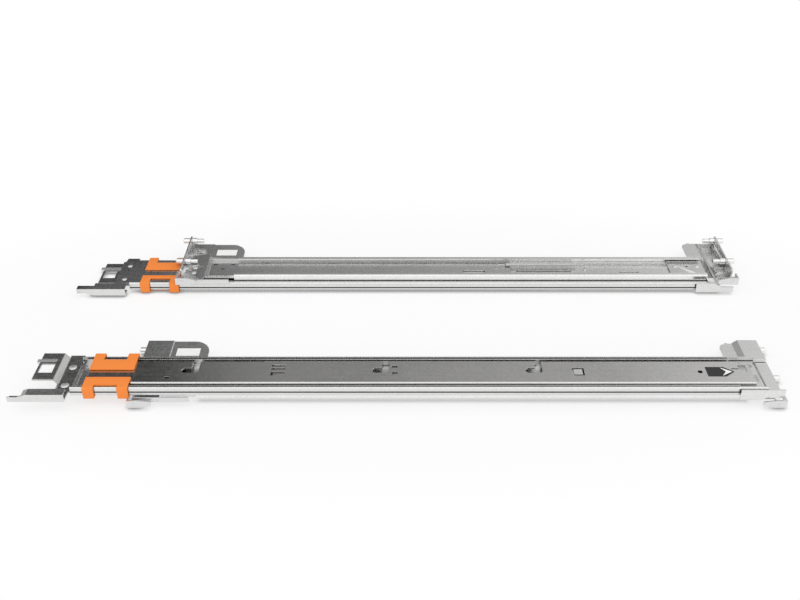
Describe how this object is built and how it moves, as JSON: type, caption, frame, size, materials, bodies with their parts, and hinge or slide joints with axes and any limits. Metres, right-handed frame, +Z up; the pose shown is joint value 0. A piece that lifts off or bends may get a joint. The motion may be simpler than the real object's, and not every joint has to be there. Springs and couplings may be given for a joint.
{
  "type": "sliding server rail pair",
  "caption": "Pair of three-member ball-bearing slides with J-slots for a server's studs, tool-less rack brackets, release latches and orange transport clips.",
  "frame": {"origin": "on the floor under the middle of the pair's box", "axes": "+X towards the front of the rack, along the rails; +Y from the right rail to the left rail; +Z up, which is the server side of the right rail and the rack side of the left rail"},
  "size_m": [0.732, 0.286, 0.0225],
  "materials": {
    "zinc_steel": "bright zinc plated sheet, satin",
    "bright_steel": "plated, semi-bright",
    "dark_steel": "plain zinc, duller",
    "ball_steel": "polished",
    "white_label": "paper, matt",
    "black_label": "black print round a white arrow",
    "orange_plastic": "moulded, slightly translucent"
  },
  "bodies": {
    "fixed_rails": {"outer_member_right": "zinc_steel", "guide_channel_right": "zinc_steel", "front_bracket_right": "zinc_steel", "front_pins_right": "bright_steel", "front_latch_pin_right": "bright_steel", "cable_arm_plate_right": "dark_steel", "cable_arm_hook_right": "zinc_steel", "depth_spring_right": "bright_steel", "outer_member_left": "zinc_steel", "guide_channel_left": "zinc_steel", "front_bracket_left": "zinc_steel", "front_pins_left": "bright_steel", "front_latch_pin_left": "bright_steel", "cable_arm_plate_left": "dark_steel", "cable_arm_hook_left": "zinc_steel", "depth_spring_left": "bright_steel"},
    "rear_slide_right": {"rear_extension_right": "zinc_steel", "rear_bracket_right": "zinc_steel", "rear_pins_right": "bright_steel", "rear_latch_pin_right": "bright_steel", "rear_labels_right": "white_label"},
    "front_latch_right": {"front_latch_right": "zinc_steel"},
    "rear_latch_right": {"rear_latch_right": "zinc_steel"},
    "cable_arm_catch_right": {"cable_arm_catch_right": "bright_steel"},
    "intermediate_right": {"intermediate_member_right": "zinc_steel"},
    "outer_cage_right": {"outer_ball_cage_right": "dark_steel", "outer_balls_right": "ball_steel"},
    "inner_right": {"inner_member_right": "zinc_steel", "arrow_label_right": "black_label"},
    "inner_cage_right": {"inner_ball_cage_right": "dark_steel", "inner_balls_right": "ball_steel"},
    "inner_lock_right": {"inner_lock_right": "bright_steel"},
    "upper_clip_right": {"upper_clip_right": "orange_plastic"},
    "lower_clip_right": {"lower_clip_right": "orange_plastic"},
    "rear_slide_left": {"rear_extension_left": "zinc_steel", "rear_bracket_left": "zinc_steel", "rear_pins_left": "bright_steel", "rear_latch_pin_left": "bright_steel", "rear_labels_left": "white_label"},
    "front_latch_left": {"front_latch_left": "zinc_steel"},
    "rear_latch_left": {"rear_latch_left": "zinc_steel"},
    "cable_arm_catch_left": {"cable_arm_catch_left": "bright_steel"},
    "intermediate_left": {"intermediate_member_left": "zinc_steel"},
    "outer_cage_left": {"outer_ball_cage_left": "dark_steel", "outer_balls_left": "ball_steel"},
    "inner_left": {"inner_member_left": "zinc_steel", "arrow_label_left": "black_label"},
    "inner_cage_left": {"inner_ball_cage_left": "dark_steel", "inner_balls_left": "ball_steel"},
    "inner_lock_left": {"inner_lock_left": "bright_steel"},
    "upper_clip_left": {"upper_clip_left": "orange_plastic"},
    "lower_clip_left": {"lower_clip_left": "orange_plastic"}
  },
  "joints": [
    {"name": "rack_depth_right", "type": "slide", "parent": "fixed_rails", "child": "rear_slide_right", "axis": [-1, 0, 0], "range_m": [0, 0.24], "stiffness_N_per_m": 20, "springref_m": -0.05, "deforming": ["depth_spring_right"]},
    {"name": "front_latch_turn_right", "type": "hinge", "parent": "fixed_rails", "child": "front_latch_right", "pos_m": [0.344, -0.137, 0.0056], "axis": [0, 1, 0], "range_deg": [0, 15], "stiffness_Nm_per_rad": 0.1, "springref_deg": -2.86},
    {"name": "rear_latch_turn_right", "type": "hinge", "parent": "rear_slide_right", "child": "rear_latch_right", "pos_m": [-0.247, -0.137, 0.0056], "axis": [0, -1, 0], "range_deg": [0, 15], "stiffness_Nm_per_rad": 0.1, "springref_deg": -2.86},
    {"name": "cable_arm_catch_press_right", "type": "hinge", "parent": "fixed_rails", "child": "cable_arm_catch_right", "pos_m": [-0.3245, -0.0915, 0.0189], "axis": [0, -1, 0], "range_deg": [0, 8], "stiffness_Nm_per_rad": 0.1, "springref_deg": -2.86},
    {"name": "intermediate_slide_right", "type": "slide", "parent": "fixed_rails", "child": "intermediate_right", "axis": [1, 0, 0], "range_m": [0, 0.34]},
    {"name": "outer_cage_roll_right", "type": "slide", "parent": "fixed_rails", "child": "outer_cage_right", "axis": [1, 0, 0], "range_m": [0, 0.17]},
    {"name": "inner_slide_right", "type": "slide", "parent": "intermediate_right", "child": "inner_right", "axis": [1, 0, 0], "range_m": [0, 0.32]},
    {"name": "inner_cage_roll_right", "type": "slide", "parent": "intermediate_right", "child": "inner_cage_right", "axis": [1, 0, 0], "range_m": [0, 0.16]},
    {"name": "inner_lock_press_right", "type": "hinge", "parent": "inner_right", "child": "inner_lock_right", "pos_m": [0.133, -0.1085, 0.019], "axis": [0, 1, 0], "range_deg": [0, 4], "stiffness_Nm_per_rad": 0.1, "springref_deg": -2.86},
    {"name": "upper_clip_pull_right", "type": "slide", "parent": "fixed_rails", "child": "upper_clip_right", "axis": [0, 1, 0], "range_m": [0, 0.03]},
    {"name": "lower_clip_pull_right", "type": "slide", "parent": "fixed_rails", "child": "lower_clip_right", "axis": [0, -1, 0], "range_m": [0, 0.02]},
    {"name": "rack_depth_left", "type": "slide", "parent": "fixed_rails", "child": "rear_slide_left", "axis": [-1, 0, 0], "range_m": [0, 0.24], "stiffness_N_per_m": 20, "springref_m": -0.05, "deforming": ["depth_spring_left"]},
    {"name": "front_latch_turn_left", "type": "hinge", "parent": "fixed_rails", "child": "front_latch_left", "pos_m": [0.353, 0.055, 0.01685], "axis": [0, -1, 0], "range_deg": [0, 15], "stiffness_Nm_per_rad": 0.1, "springref_deg": -2.86},
    {"name": "rear_latch_turn_left", "type": "hinge", "parent": "rear_slide_left", "child": "rear_latch_left", "pos_m": [-0.238, 0.055, 0.01685], "axis": [0, 1, 0], "range_deg": [0, 15], "stiffness_Nm_per_rad": 0.1, "springref_deg": -2.86},
    {"name": "cable_arm_catch_press_left", "type": "hinge", "parent": "fixed_rails", "child": "cable_arm_catch_left", "pos_m": [-0.3155, 0.1005, 0.00355], "axis": [0, 1, 0], "range_deg": [0, 8], "stiffness_Nm_per_rad": 0.1, "springref_deg": -2.86},
    {"name": "intermediate_slide_left", "type": "slide", "parent": "fixed_rails", "child": "intermediate_left", "axis": [1, 0, 0], "range_m": [0, 0.34]},
    {"name": "outer_cage_roll_left", "type": "slide", "parent": "fixed_rails", "child": "outer_cage_left", "axis": [1, 0, 0], "range_m": [0, 0.17]},
    {"name": "inner_slide_left", "type": "slide", "parent": "intermediate_left", "child": "inner_left", "axis": [1, 0, 0], "range_m": [0, 0.32]},
    {"name": "inner_cage_roll_left", "type": "slide", "parent": "intermediate_left", "child": "inner_cage_left", "axis": [1, 0, 0], "range_m": [0, 0.16]},
    {"name": "inner_lock_press_left", "type": "hinge", "parent": "inner_left", "child": "inner_lock_left", "pos_m": [0.142, 0.0835, 0.00345], "axis": [0, -1, 0], "range_deg": [0, 4], "stiffness_Nm_per_rad": 0.1, "springref_deg": -2.86},
    {"name": "upper_clip_pull_left", "type": "slide", "parent": "fixed_rails", "child": "upper_clip_left", "axis": [0, 1, 0], "range_m": [0, 0.03]},
    {"name": "lower_clip_pull_left", "type": "slide", "parent": "fixed_rails", "child": "lower_clip_left", "axis": [0, -1, 0], "range_m": [0, 0.02]}
  ],
  "couplings": [
    {"joint": "outer_cage_roll_right", "follows": "intermediate_slide_right", "ratio": 0.5},
    {"joint": "inner_cage_roll_right", "follows": "inner_slide_right", "ratio": 0.5},
    {"joint": "outer_cage_roll_left", "follows": "intermediate_slide_left", "ratio": 0.5},
    {"joint": "inner_cage_roll_left", "follows": "inner_slide_left", "ratio": 0.5}
  ]
}
